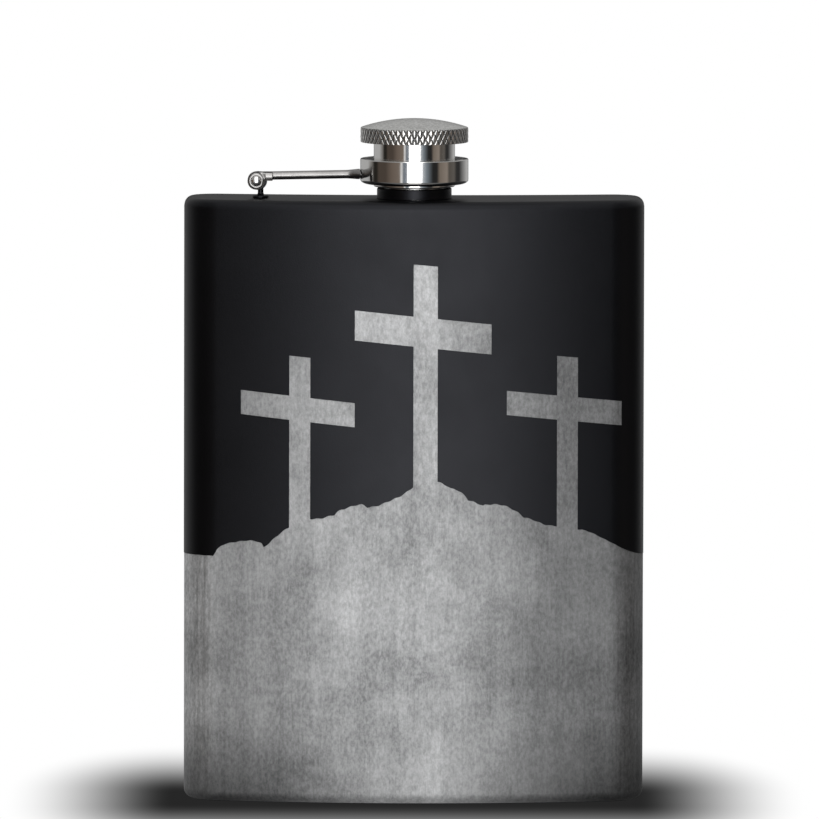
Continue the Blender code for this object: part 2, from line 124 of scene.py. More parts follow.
DOME_TOP = 16.5 * MM
SOCKET_RADIUS = 8.475 * MM
SOCKET_TOP = 13.84 * MM

# Knurling on the head
KNURLS = 58
KNURL_SLOPE = 0.12 * MM
KNURL_NOTCH = 0.08 * MM
KNURL_DEPTH = KNURL_SLOPE + KNURL_NOTCH
KNURL_CREST = 0.06 * MM
KNURL_LEAN = math.radians(28)
NOTCH_WIDTH = 0.13
KNURL_STEPS = 16
KNURL_ROWS = 40

# Hinge and arm, measured from the hinge axis
PIN_RADIUS = 0.7 * MM
PIN_HEAD_RADIUS = 1.05 * MM
PIN_HEAD_START = 1.9 * MM
PIN_HEAD = 0.5 * MM
PIN_HOLE_RADIUS = 0.78 * MM
EYE_RADIUS = 1.9 * MM
EYE_OFFSET = 0.35 * MM
EYE_HALF_LENGTH = 0.8 * MM
STEM_RADIUS = 0.58 * MM
STEM_OFFSET = 0.9 * MM
FOOT_RADIUS = 1.7 * MM
FOOT = 0.5 * MM
SEAT_GAP = 0.1 * MM
CHEEK_RADIUS = 1.8 * MM
CHEEK_CROWN = 0.28 * MM
CHEEK_START = 0.9 * MM
CHEEK_END = 1.8 * MM
BRIDGE_START = 2.35 * MM
BRIDGE = 1.0 * MM
ROD_RADIUS = 0.875 * MM
ROD_RISE = 1.025 * MM
ROD_DROP = 0.4 * MM
FLARE_LENGTH = 4.0 * MM
FLARE_HALF_WIDTH = 4.4 * MM
FLARE_HALF_HEIGHT = 1.2 * MM
BRAZE_GAP = 0.15 * MM
EYE_VOXEL = 0.06 * MM
ARM_VOXEL = 0.07 * MM

# Camera: how far in front of the flask, how high, and the x and z that it is aimed at
CAMERA_DISTANCE = 4.0
CAMERA_HEIGHT = 0.397
CAMERA_AIM = mm(-0.9, 80.65)
CAMERA_ROLL = math.radians(0.12)
LENS = 854
SENSOR_WIDTH = 36

# Light: the brightest softbox, and the studio away from eye level
SOFTBOX = 4.2
FRONT_CEILING = 2.0
SIDE_CEILING = 0.3
BACK_CEILING = 0.42
ZENITH = 0.8
BELOW = 0.12

# The painted soft shadow on the floor: how far past the foot it reaches, sideways and in depth
SHADOW_REACH = mm(36, 105)
SHADOW_DARKEST = 0.02
SHADOW_FALLOFF = 1.2
SHADOW_TO_LEFT = 1.7 * MM
# The painted glow of the dark sheet that the steel mirrors at its foot: from how far aside to how
# far, the first glow and the last one
PAINTED_REFLECTION_GLOW = (*mm(10, 42), 0.4, 0.12)

# Most of a noise's values lie in this range
NOISE_MIDDLE = (0.36, 0.64)
# Painted light and shade across the steel, brighter at the left edge and darker to the right:
# from x, to x, the first share of the light and the last one
PAINTED_STEEL_SHADE = (
    (*mm(-47, -39), 2.0, 1.0),
    (*mm(-34, -14), 0.76, 1.0),
    (*mm(4, 30), 1.0, 0.57),
)
# Painted shade in the steel's lower corners: the heights it fades over, and its spread aside
PAINTED_FOOT_SHADE_HEIGHTS = mm(18, 1)
PAINTED_FOOT_SHADE_ASIDE = (*mm(6, 42), 0.1, 0.68)

# The engraving, as lengths round the front from its middle and heights
CROSSES = (
    # middle, top, half width of the post, reach, height and half thickness of the arms
    mm(2.4, 111.4, 2.5, 14.1, 97.5, 3.1),
    mm(-23.6, 92.4, 2.2, 11.9, 81.6, 2.5),
    mm(31.9, 92.4, 2.2, 12.2, 81.7, 2.5),
)
ARM_SLANT = math.tan(math.radians(-5.8))
ARM_OFFSET = -0.5 * MM
POST_TOP_SLANT = math.tan(math.radians(-5.2))
POST_FOOT = 50 * MM
OUTLINE_STEP = 0.7 * MM
OUTLINE_CLEAR = 0.2 * MM
HILL_EDGE = 50.9 * MM
HILL_SWELLS = (
    # middle, half width, height, power
    (*mm(3, 27, 10.9), 4),
    (*mm(3.5, 6.5, 5.2), 2),
    (*mm(-25, 6, 3.4), 2),
    (*mm(36, 8, 4.2), 2),
)
BOULDERS = (
    # middle, half width, height
    mm(-36.4, 5.2, 2.9),
    mm(-13.0, 3.2, 1.0),
    mm(9.5, 1.6, 0.8),
    mm(18.5, 4.0, 1.0),
)

# The studio round the flask at eye level, by bearing from the front in degrees,
# positive to the right: softboxes and reflectors between dark flags
STUDIO = (
    (-168, 0.06),
    (-160, 0.42),
    (-118, 0.42),
    (-104, (0.20, 0.19, 0.18)),
    (-96, (0.02, 0.018, 0.015)),
    (-88, (0.02, 0.018, 0.015)),
    (-82, (0.07, 0.055, 0.045)),
    (-64, (0.07, 0.055, 0.045)),
    (-50, (0.14, 0.11, 0.09)),
    (-31, (0.19, 0.155, 0.13)),
    (-29, 0.75),
    (-26, 0.75),
    (-24, (0.14, 0.16, 0.19)),
    (-15, (0.26, 0.29, 0.33)),
    (-12, SOFTBOX),
    (14, SOFTBOX),
    (17, (0.50, 0.53, 0.57)),
    (26, (0.20, 0.23, 0.26)),
    (34, (0.08, 0.09, 0.10)),
    (40, 0.02),
    (50, 0.02),
    (56, (0.18, 0.15, 0.125)),
    (74, (0.26, 0.22, 0.19)),
    (80, (0.09, 0.08, 0.07)),
    (94, (0.12, 0.11, 0.10)),
    (102, 0.03),
    (112, 0.03),
    (130, 0.24),
    (148, 0.44),
    (166, 0.40),
    (172, 0.06),
)

JOINTS = {joint["name"]: joint.get("pos_m") for joint in frame["joints"]}
NECK_AXIS = Vector(JOINTS["cap_turn"])
HINGE = Vector(JOINTS["arm_swing"])
BODY_LOW, BODY_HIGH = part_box("body_shell")
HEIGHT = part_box("top_plate")[1].z
WIDTH = BODY_HIGH.x - BODY_LOW.x
THICKNESS = 2 * (NECK_AXIS.y - BODY_LOW.y)
ARM_REACH = NECK_AXIS.x - HINGE.x


# ---------------- body section


def arc_run(centre, radius, start, end, hollow=False):
    """A stretch of the section: its length, and a function giving point and normal."""
    length = abs(end - start) * radius
    facing = -1 if hollow else 1

    def at(distance):
        angle = start + (end - start) * distance / length
        out = Vector((math.cos(angle), math.sin(angle)))
        return Vector(centre) + out * radius, out * facing

    return length, at


def side_run(x, start, end):
    """The short straight side between the two corners."""
    return end - start, lambda distance: (Vector((x, start + distance)), Vector((1, 0)))


def section_runs():
    """The right half of the section, from the middle of the front to that of the back."""
    front_centre = -THICKNESS / 2 + FRONT_RADIUS + NECK_AXIS.y
    back_centre = THICKNESS / 2 + BACK_RADIUS + NECK_AXIS.y
    front_x = WIDTH / 2 - FRONT_CORNER
    back_x = WIDTH / 2 - BACK_CORNER
    front_y = front_centre - math.sqrt((FRONT_RADIUS - FRONT_CORNER) ** 2 - front_x**2)
    back_y = back_centre - math.sqrt((BACK_RADIUS + BACK_CORNER) ** 2 - back_x**2)
    front_turn = math.asin(front_x / (FRONT_RADIUS - FRONT_CORNER))
    back_turn = math.asin(back_x / (BACK_RADIUS + BACK_CORNER))
    quarter = math.pi / 2
    return [
        arc_run((0, front_centre), FRONT_RADIUS, -quarter, -quarter + front_turn),
        arc_run((front_x, front_y), FRONT_CORNER, -quarter + front_turn, 0),
        side_run(WIDTH / 2, front_y, back_y),
        arc_run((back_x, back_y), BACK_CORNER, 0, quarter + back_turn),
        arc_run((0, back_centre), BACK_RADIUS, -quarter + back_turn, -quarter, hollow=True),
    ]


RUNS = section_runs()
HALF_GIRTH = sum(length for length, _ in RUNS)


def section_at(round_front):
    """Point and outward normal on the section, a length round from the front's middle."""
    left = abs(round_front)
    for length, at in RUNS:
        if left <= length:
            break
        left -= length
    point, normal = at(min(left, length))
    if round_front < 0:
        point.x, normal.x = -point.x, -normal.x
    return point, normal


# The profile runs up the wall: below 0 and above the wall it turns round the edges.
PROFILE_LOW = BOTTOM_EDGE - BOTTOM_EDGE * math.pi / 2
PROFILE_HIGH = HEIGHT - TOP_EDGE + TOP_EDGE * math.pi / 2


def profile_at(along):
    """(inset, height, outward share, upward share) at a length along the profile."""
    if along < BOTTOM_EDGE:
        angle = (BOTTOM_EDGE - along) / BOTTOM_EDGE
        out, up = math.cos(angle), -math.sin(angle)
        return BOTTOM_EDGE * (1 - out), BOTTOM_EDGE * (1 + up), out, up
    if along > HEIGHT - TOP_EDGE:
        angle = (along - HEIGHT + TOP_EDGE) / TOP_EDGE
        out, up = math.cos(angle), math.sin(angle)
        return TOP_EDGE * (1 - out), HEIGHT - TOP_EDGE * (1 - up), out, up
    return 0, along, 1, 0


def skin_point(round_front, along, depth):
    """A point on the body's skin, or that deep under it."""
    point, normal = section_at(round_front)
    inset, height, out, up = profile_at(along)
    flat = point - normal * (inset + depth * out)
    return Vector((flat.x, flat.y, height - depth * up))


def spaced(start, end, step):
    """Even steps from start to end, both included, none longer than step."""
    count = max(1, math.ceil(abs(end - start) / step - 1e-6))
    return [start + (end - start) * i / count for i in range(count + 1)]


def girth_stops():
    """Lengths round the body at which the skin has a line of points."""
    steps = mm(1.6, 0.6, 1.2, 0.6, 2.0)
    stops = [0.0]
    for (length, _), step in zip(RUNS, steps):
        start = stops[-1]
        stops += spaced(start, start + length, step)[1:]
    return [-stop for stop in reversed(stops[1:])] + stops


def height_stops():
    """Lengths along the profile at which the skin has a ring of points."""
    near = 0.1 * MM
    low, high = BOTTOM_EDGE, HEIGHT - TOP_EDGE
    stops = spaced(PROFILE_LOW, low, 0.4 * MM)
    stops += spaced(low + near, high - near, 1.6 * MM)
    return stops + spaced(high, PROFILE_HIGH, 0.25 * MM)


# ---------------- mesh helpers


def placed(name, data):
    """A new object in the scene."""
    made = bpy.data.objects.new(name, data)
    bpy.context.scene.collection.objects.link(made)
    return made


def new_piece(mesh, body, slot, finishes, *nodes):
    """A finished piece that rides a body and may replace CAD nodes. The slot argument is not
    used.
    """
    for finish in finishes:
        mesh.materials.append(finish.made)
    mesh.shade_smooth()
    mesh.set_sharp_from_angle(angle=SHARP)
    piece = placed(mesh.name, mesh)
    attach(piece, body)
    if nodes:
        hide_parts(*nodes)


def mesh_from(build, name):
    mesh = bpy.data.meshes.new(name)
    build.to_mesh(mesh)
    build.free()
    return mesh


def outward(build):
    """The same build, its faces turned to the outside."""
    bmesh.ops.recalc_face_normals(build, faces=build.faces)
    return build


def bridge(build, low, high):
    """Faces between two closed rings of the same number of points."""
    for i in range(len(low)):
        after = (i + 1) % len(low)
        build.faces.new((low[i], low[after], high[after], high[i]))


def loft(build, rings, capped=False):
    """Faces from ring to ring, and over both ends if capped."""
    for low, high in zip(rings, rings[1:]):
        bridge(build, low, high)
    if capped:
        build.faces.new(rings[0])
        build.faces.new(rings[-1])


def quarter_turn(steps, first=0):
    """Cosine and sine at even steps through a quarter turn."""
    angles = [math.radians(90 * i / steps) for i in range(first, steps + 1)]
    return [(math.cos(angle), math.sin(angle)) for angle in angles]


def rounded(corners):
    """A profile from (radius, height, rounding) corners, each turned on a small arc.

    A short straight stretch each side of an arc keeps the faces beyond it flat.
    """
    support, steps = 0.03 * MM, 3
    points = []
    for i, (r, z, rounding) in enumerate(corners):
        here = Vector((r, z))
        if rounding == 0:
            points.append(tuple(here))
            continue
        before = Vector(corners[i - 1][:2]) - here
        after = Vector(corners[(i + 1) % len(corners)][:2]) - here
        half = before.angle(after) / 2
        before.normalize()
        after.normalize()
        reach = rounding / math.tan(half)
        centre = here + (before + after).normalized() * (rounding / math.sin(half))
        start = here + before * reach
        end = here + after * reach
        sweep = (start - centre).angle_signed(end - centre)
        points.append(tuple(start + before * support))
        for k in range(steps + 1):
            spoke = start - centre
            spoke.rotate(Matrix.Rotation(-sweep * k / steps, 2))
            points.append(tuple(centre + spoke))
        points.append(tuple(end + after * support))
    return points


def around(centre, radius, angle, height):
    """A point about a vertical axis."""
    x = centre.x + radius * math.cos(angle)
    y = centre.y + radius * math.sin(angle)
    return x, y, centre.z + height


def turned_build(points, steps, centre, closed=True, relief=None):
    """A turned solid about a vertical axis; relief(angle, index) may move a point in."""
    build = bmesh.new()
    rings = []
    for index, (r, z) in enumerate(points):
        if r < 1e-7:
            rings.append([build.verts.new((centre.x, centre.y, centre.z + z))])
            continue
        ring = []
        for i in range(steps):
            angle = math.tau * i / steps
            reach = r - (relief(angle, index) if relief else 0)
            ring.append(build.verts.new(around(centre, reach, angle, z)))
        rings.append(ring)
    pairs = list(zip(rings, rings[1:]))
    if closed:
        pairs.append((rings[-1], rings[0]))
    for low, high in pairs:
        if len(low) == 1 or len(high) == 1:
            tip, ring = (low[0], high) if len(low) == 1 else (high[0], low)
            for i in range(steps):
                build.faces.new((tip, ring[i], ring[(i + 1) % steps]))
        else:
            bridge(build, low, high)
    return outward(build)


def turned(name, points, centre, closed=True, steps=256):
    return mesh_from(turned_build(points, steps, centre, closed), name)


def turned_piece(name, profile, body, slot, finish, node):
    """A piece turned about the neck's axis from corners with roundings."""
    mesh = turned(name, rounded(profile), NECK_AXIS)
    new_piece(mesh, body, slot, [finish], node)


def helix_build(root, crest, first, last):
    """A thread ridge round the neck's axis, whose two ends fade into the wall."""
    build = bmesh.new()
    steps = 96
    count = round(steps * ((last - first) / THREAD_PITCH))
    fade = steps / 6
    rings = []
    for i in range(count + 1):
        angle = math.tau * i / steps
        strength = min(1, i / fade, (count - i) / fade)
        strength = math.sin(strength * math.pi / 2)
        top = root + (crest - root) * max(strength, 0.02)
        z = first + THREAD_PITCH * i / steps
        outline = (
            (root, z + THREAD_ROOT_WIDTH / 2),
            (top, z + THREAD_CREST_WIDTH / 2),
            (top, z - THREAD_CREST_WIDTH / 2),
            (root, z - THREAD_ROOT_WIDTH / 2),
        )
        places = [around(NECK_AXIS, r, angle, at) for r, at in outline]
        rings.append([build.verts.new(place) for place in places])
    loft(build, rings, capped=True)
    return outward(build)


def joined(name, builds):
    """One mesh from several."""
    whole = bmesh.new()
    for build in builds:
        part = mesh_from(build, "part")
        whole.from_mesh(part)
        bpy.data.meshes.remove(part)
    return mesh_from(whole, name)


def cylinder(radius, start, end, axis, centre, steps=96):
    """A plain cylinder for cutting or joining, along Y or Z through a centre."""
    build = bmesh.new()
    bmesh.ops.create_cone(
        build, cap_ends=True, segments=steps, radius1=radius, radius2=radius, depth=end - start
    )
    bmesh.ops.translate(build, verts=build.verts, vec=(0, 0, (start + end) / 2))
    if axis == "Y":
        turn = Matrix.Rotation(math.radians(-90), 3, "X")
        bmesh.ops.rotate(build, verts=build.verts, matrix=turn)
    bmesh.ops.translate(build, verts=build.verts, vec=centre)
    return mesh_from(build, "tool")


def worked(mesh, changes):
    """A mesh after a chain of Booleans, each (operation, tool mesh)."""
    blank = placed("blank", mesh)
    tools = []
    for operation, tool_mesh in changes:
        cut = blank.modifiers.new(operation, "BOOLEAN")
        cut.operation = operation
        cut.object = placed("tool", tool_mesh)
        tools.append(cut.object)
    made = evaluated_mesh(blank)
    for tool in [blank, *tools]:
        bpy.data.objects.remove(tool)
    return made


def evaluated_mesh(obj):
    """The object's mesh with its modifiers applied."""
    graph = bpy.context.evaluated_depsgraph_get()
    graph.update()
    return bpy.data.meshes.new_from_object(obj.evaluated_get(graph))


def softened(name, mesh, voxel, passes):
    """The mesh with every edge melted round, as on small cast or polished parts."""
    blank = placed("blank", mesh)
    remesh = blank.modifiers.new("remesh", "REMESH")
    remesh.mode = "VOXEL"
    remesh.voxel_size = voxel
    smooth = blank.modifiers.new("smooth", "SMOOTH")
    smooth.factor = 0.5
    smooth.iterations = passes
    made = evaluated_mesh(blank)
    made.name = name
    bpy.data.objects.remove(blank)
    return made


# ---------------- finishes


class Nodes:
    """Short ways to add nodes to a tree and to link them."""

    def __init__(self, tree):
        self.tree = tree

    def add(self, kind, **settings):
        node = self.tree.nodes.new("ShaderNode" + kind)
        for name, value in settings.items():
            setattr(node, name, value)
        return node

    def put(self, socket, value):
        """Gives a socket an output, or a number, vector or colour; a bare number is a grey."""
        if isinstance(value, bpy.types.NodeSocket):
            self.tree.links.new(value, socket)
        elif socket.type == "RGBA":
            colour = value if isinstance(value, tuple) else (value, value, value)
            socket.default_value = (*colour, 1)
        else:
            socket.default_value = value

    def fill(self, node, **values):
        """Gives sockets their values by name, written with _ for a space."""
        for name, value in values.items():
            self.put(node.inputs[name.replace("_", " ")], value)
        return node

    def axes(self, place):
        """The X, Y and Z of a place."""
        return self.fill(self.add("SeparateXYZ"), Vector=place).outputs

    def spread(self, value, low, high, out_low=0.0, out_high=1.0, kind="LINEAR"):
        """A value brought from one range into another."""
        node = self.add("MapRange", interpolation_type=kind)
        self.fill(node, Value=value, From_Min=low, From_Max=high, To_Min=out_low, To_Max=out_high)
        return node.outputs["Result"]

    def maths(self, operation, first, second=0.0):
        node = self.add("Math", operation=operation)
        self.put(node.inputs[0], first)
        self.put(node.inputs[1], second)
        return node.outputs["Value"]

    def vector(self, operation, first, second=(0, 0, 0)):
        node = self.add("VectorMath", operation=operation)
        self.put(node.inputs[0], first)
        self.put(node.inputs[1], second)
        return node.outputs["Value" if operation == "LENGTH" else "Vector"]

    def mix(self, factor, first, second, blend="MIX"):
        """A colour mixed from two."""
        node = self.add("Mix", data_type="RGBA", blend_type=blend)
        self.fill(node, Factor=factor)
        self.put(node.inputs[6], first)
        self.put(node.inputs[7], second)
        return node.outputs[2]


class Finish(Nodes):
    """A Principled material, with patterns laid out in the object's own space."""

    def __init__(self, name, colour, roughness, metallic=1.0):
        self.made = bpy.data.materials.new(name)
        self.made.use_nodes = True
        super().__init__(self.made.node_tree)
        self.shader = self.tree.nodes["Principled BSDF"]
        self.feed(Base_Color=colour, Roughness=roughness, Metallic=metallic)
        self.place = self.add("TexCoord").outputs["Object"]

    def feed(self, **values):
        self.fill(self.shader, **values)

    def noise(self, scale, detail=3.0, roughness=0.6, stretch=(1, 1, 1)):
        """Noise in the object's space; scale is in waves a metre."""
        place = self.fill(self.add("Mapping"), Scale=stretch, Vector=self.place).outputs[0]
        texture = self.add("TexNoise")
        self.fill(texture, Scale=scale, Detail=detail, Roughness=roughness, Vector=place)
        return texture.outputs["Fac"]

    def bump(self, pattern, depth):
        node = self.fill(self.add("Bump"), Strength=1.0, Distance=depth, Height=pattern)
        self.feed(Normal=node.outputs["Normal"])

    def toned(self, pattern, first, second):
        """Base colour between two from a pattern."""
        self.feed(Base_Color=self.mix(pattern, first, second))

    def marked(self, marks, smooth, rough, depth, high=0.7):
        """Roughness between two values from a pattern, and bump from the same one."""
        self.feed(Roughness=self.spread(marks, 0.3, high, smooth, rough))
        if depth:
            self.bump(marks, depth)


def brushed_body_steel():
    """Vertically brushed stainless steel with the clouding that a laser leaves, painted light and
    shade across it from side to side, and painted shade in its lower corners.
    """
    finish = Finish("brushed_body_steel", (0.3, 0.31, 0.3), 0.6)
    brushing = finish.noise(1, 4, 0.62, stretch=(2300, 2300, 90))
    layers = (
        # how much of the shade, and the noise that gives it
        (0.20, brushing),
        (0.09, finish.noise(1, 3, 0.5, stretch=(420, 420, 14))),
        (0.36, finish.noise(48, 5, 0.62)),
        (0.35, finish.noise(1500, 4, 0.75, stretch=(1, 1, 0.6))),
    )
    shade = 0.0
    for weight, layer in layers:
        shade = finish.maths("ADD", shade, finish.spread(layer, *NOISE_MIDDLE, 0, weight))
    tone = finish.mix(shade, (0.19, 0.193, 0.195), (0.79, 0.795, 0.8))
    across, _, height = finish.axes(finish.place)
    # Painted light and shade from side to side: the steel's tone scaled by x
    painted_side_shade = 1.0
    for band in PAINTED_STEEL_SHADE:
        painted_side_shade = finish.maths("MULTIPLY", painted_side_shade, finish.spread(across, *band))
    tone = finish.mix(1.0, tone, painted_side_shade, "MULTIPLY")
    # Painted shade: the steel darkened towards black low down and towards its sides
    low = finish.spread(height, *PAINTED_FOOT_SHADE_HEIGHTS)
    aside = finish.spread(finish.maths("ABSOLUTE", across), *PAINTED_FOOT_SHADE_ASIDE)
    painted_foot_shade = finish.maths("MULTIPLY", low, aside)
    finish.toned(painted_foot_shade, tone, 0.02)
    finish.marked(brushing, 0.56, 0.72, 0.005 * MM)
    return finish


def black_powder_coat():
    """Matt black powder coat: a very fine orange-peel grain."""
    finish = Finish("black_powder_coat", (0.003, 0.003, 0.0035), 0.38, 0.0)
    grain = finish.noise(3600)
    finish.toned(grain, (0.0008, 0.0008, 0.001), (0.0026, 0.0026, 0.003))
    finish.feed(Specular_Tint=(0.88, 0.9, 1.0), Specular_IOR_Level=0.24)
    finish.marked(finish.noise(60, 4), 0.33, 0.4, 0)
    finish.bump(grain, 0.02 * MM)
    return finish


def polished_steel():
    """Mirror-bright stainless steel with smudges, and faint hairlines from handling."""
    finish = Finish("polished_steel", (0.84, 0.83, 0.81), 0.07)
    smudges = finish.noise(350, 3, 0.5)
    finish.toned(smudges, (0.88, 0.87, 0.85), (0.78, 0.77, 0.75))
    finish.marked(smudges, 0.05, 0.13, 0, high=0.75)
    finish.bump(finish.noise(1, stretch=(900, 900, 9000)), 0.0012 * MM)
    return finish


def drawn_steel():
    """Bright drawn rod and pressed cheeks: a softer shine, with marks along the arm."""
    finish = Finish("drawn_steel", (0.33, 0.32, 0.31), 0.36)
    tone = finish.noise(420, 4)
    finish.toned(tone, (0.24, 0.235, 0.23), (0.42, 0.41, 0.4))
    finish.marked(finish.noise(1, stretch=(300, 7000, 7000)), 0.28, 0.42, 0.002 * MM)
    return finish


def knurled_steel():
    """Polished knurling with painted shade in its grooves: darker the nearer to the axis."""
    finish = Finish("knurled_steel", (0.8, 0.79, 0.77), 0.12)
    away = finish.vector("SUBTRACT", finish.place, tuple(NECK_AXIS))
    reach = finish.vector("LENGTH", finish.vector("MULTIPLY", away, (1, 1, 0)))
    smudges = finish.noise(600, 3, 0.5)
    # Painted shade: the grooves near black, the crests bright
    crest = finish.spread(reach, HEAD_RADIUS - KNURL_DEPTH, HEAD_RADIUS - KNURL_CREST)
    bright = finish.mix(smudges, (0.86, 0.85, 0.83), (0.7, 0.69, 0.67))
    finish.toned(crest, 0.03, bright)
    finish.marked(smudges, 0.1, 0.2, 0, high=0.75)
    return finish


def satin_steel():
    """Bead-blasted steel of the cap's head."""
    finish = Finish("satin_steel", (0.6, 0.6, 0.58), 0.33)
    tone = finish.spread(finish.noise(1700, 4, 0.7), *NOISE_MIDDLE)
    finish.toned(tone, (0.6, 0.6, 0.58), (0.97, 0.97, 0.95))
    finish.marked(finish.noise(6500), 0.27, 0.4, 0.006 * MM)
    return finish


def plain_steel():
    """Machined steel inside the cap and on the thread: fine turning marks."""
    finish = Finish("plain_steel", (0.58, 0.58, 0.57), 0.3)
    tone = finish.noise(300, 3, 0.5)
    finish.toned(tone, (0.5, 0.5, 0.49), (0.66, 0.66, 0.65))
    finish.marked(finish.noise(1, stretch=(120, 120, 14000)), 0.24, 0.38, 0.004 * MM)
    return finish


def seal_rubber():
    """Off-white food-grade rubber."""
    finish = Finish("seal_rubber", (0.72, 0.7, 0.64), 0.6, 0.0)
    tone = finish.noise(250, 3, 0.5)
    finish.toned(tone, (0.66, 0.64, 0.58), (0.76, 0.74, 0.69))
    finish.marked(finish.noise(2500), 0.52, 0.7, 0.01 * MM)
    return finish


# ---------------- body pieces


def skin_rings(build, alongs, depth, stops):
    """Closed rings of points round the body, the seam at the back used once."""
    return [
        [build.verts.new(skin_point(stop, along, depth)) for stop in stops[:-1]]
        for along in alongs
    ]


def shell_mesh(name, low, high, wall):
    """The tube between two heights, open at both ends, with its wall."""
    stops = girth_stops()
    alongs = [low] + [stop for stop in height_stops() if low < stop < high] + [high]
    build = bmesh.new()
    outer = skin_rings(build, alongs, COAT_RISE, stops)
    inner = skin_rings(build, alongs, COAT_RISE + wall, stops)
    loft(build, outer)
    loft(build, inner)
    bridge(build, inner[0], outer[0])
    bridge(build, outer[-1], inner[-1])
    return mesh_from(outward(build), name)


def cap_flat(build, ring, hole_radius):
    """Fills a flat ring of points, round a hole on the neck's axis if it has one.

    A narrow band inside the ring keeps the flat face's shading flat. Gives the hole's points.
    """
    height = ring[0].co.z
    middle = Vector((NECK_AXIS.x, NECK_AXIS.y, height))
    verts = [build.verts.new(v.co + (middle - v.co).normalized() * FLAT_BAND) for v in ring]
    bridge(build, ring, verts)
    outline = np.array([tuple(vert.co.xy) for vert in verts])
    edges = [(i, (i + 1) % len(ring)) for i in range(len(ring))]
    hole = []
    steps = 128
    for i in range(steps if hole_radius else 0):
        angle = math.tau * i / steps
        out = Vector((math.cos(angle), math.sin(angle), 0))
        hole.append(build.verts.new(middle + out * hole_radius))
        edges.append((len(ring) + i, len(ring) + (i + 1) % steps))
    verts += hole
    points = [vert.co.xy for vert in verts]
    found, _, faces, origins, _, _ = delaunay_2d_cdt(points, edges, [], 0, 1e-9, True)
    corners = []
    for point, origin in zip(found, origins):
        made = verts[origin[0]] if origin else build.verts.new((point.x, point.y, height))
        corners.append(made)
    for face in faces:
        centre = sum((found[i] for i in face), Vector((0, 0))) / 3
        in_hole = (centre - middle.xy).length < hole_radius * 0.9995
        if not in_hole and inside(outline, centre.x, centre.y):
            build.faces.new([corners[i] for i in face])
    return hole


def inside(outline, x, y):
    """Whether a point lies in a closed outline."""
    x1, y1 = outline[:, 0], outline[:, 1]
    x2, y2 = np.roll(x1, -1), np.roll(y1, -1)
    spans = (y1 > y) != (y2 > y)
    with np.errstate(divide="ignore", invalid="ignore"):
        crossing = x1 + (y - y1) * (x2 - x1) / (y2 - y1)
    return bool(np.count_nonzero(spans & (x < crossing)) % 2)


def plate_mesh(name, alongs, hole_radius):
    """A pressed end plate: flange, rounded edge and flat face, with its thickness."""
    stops = girth_stops()
    build = bmesh.new()
    rims = []
    holes = []
    for depth in (COAT_RISE, COAT_RISE + PLATE):
        rings = skin_rings(build, alongs, depth, stops)
        loft(build, rings)
        holes.append(cap_flat(build, rings[-1], hole_radius))
        rims.append(rings[0])
    bridge(build, rims[0], rims[1])
    if hole_radius:
        bridge(build, holes[0], holes[1])
    return mesh_from(outward(build), name)


def make_steel_body(steel):
    """The tube and both plates, in bare steel, a coat's thickness under the surface."""
    low_seam = BOTTOM_EDGE + SEAM_ABOVE_BOTTOM_EDGE
    high_seam = HEIGHT - TOP_EDGE - SEAM_BELOW_TOP_EDGE
    below = [stop for stop in height_stops() if stop < low_seam - SEAM_CLEAR]
    above = [stop for stop in height_stops() if stop > high_seam + SEAM_CLEAR]
    for mesh, node in (
        (shell_mesh("body_tube", low_seam, high_seam, SHEET), "body_shell"),
        (plate_mesh("base_plate", [low_seam] + below[::-1], 0), "bottom_plate"),
        (plate_mesh("shoulder_plate", [high_seam] + above, NECK_HOLE_RADIUS), "top_plate"),
    ):
        new_piece(mesh, "flask", "body_steel", [steel], node)


def cross_outline(middle, top, half_width, reach, arms, half_thickness):
    """A plain Latin cross whose arms and top lean a little, its foot in the hill."""
    low, high = arms - half_thickness, arms + half_thickness
    left, right = ARM_OFFSET - reach, ARM_OFFSET + reach
    corners = (
        # offset from the middle, height there, lean
        (-half_width, POST_FOOT, 0),
        (half_width, POST_FOOT, 0),
        (half_width, low, ARM_SLANT),
        (right, low, ARM_SLANT),
        (right, high, ARM_SLANT),
        (half_width, high, ARM_SLANT),
        (half_width, top, POST_TOP_SLANT),
        (-half_width, top, POST_TOP_SLANT),
        (-half_width, high, ARM_SLANT),
        (left, high, ARM_SLANT),
        (left, low, ARM_SLANT),
        (-half_width, low, ARM_SLANT),
    )
    return [(middle + offset, height + offset * slant) for offset, height, slant in corners]


def hill_height(round_front):
    """The top of the hill: a broad swell, knolls, boulders and a little roughness."""
    height = HILL_EDGE
    for middle, half_width, rise, power in HILL_SWELLS:
        height += rise * math.exp(-(abs((round_front - middle) / half_width) ** power))
    for middle, half_width, rise in BOULDERS:
        share = 1 - ((round_front - middle) / half_width) ** 2
        if share > 0:
            height += rise * math.sqrt(share)
    rough = math.sin(round_front / MM * 1.9) * math.sin(round_front / MM * 0.83 + 1)
    calm = math.exp(-((round_front / (40 * MM)) ** 6))
    return height + 0.22 * MM * rough * calm


def hill_outline():
    """The hill and all below it, round both sides to the middle of each."""
    side = RUNS[0][0] + RUNS[1][0] + RUNS[2][0] + 1.0 * MM
    below = PROFILE_LOW - 1 * MM
    ridge = [(stop, hill_height(stop)) for stop in spaced(-side, side, 0.4 * MM)]
    return [(-side, below), (side, below)] + ridge[::-1]


def near_outline(point, outlines, distance):
    """Whether a point lies that close to any of the outlines."""
    for outline in outlines:
        run = np.roll(outline, -1, axis=0) - outline
        away = np.array(point) - outline
        share = np.clip((away * run).sum(1) / (run * run).sum(1), 0, 1)
        if (np.hypot(*(away - run * share[:, None]).T) < distance).any():
            return True
    return False


def closely_spaced(outline, step):
    """The outline with points added, so that it can follow the body's curve."""
    dense = []
    for start, end in zip(outline, outline[1:] + outline[:1]):
        count = max(1, math.ceil(math.dist(start, end) / step))
        for i in range(count):
            share = i / count
            dense.append([a + (b - a) * share for a, b in zip(start, end)])
    return np.array(dense)


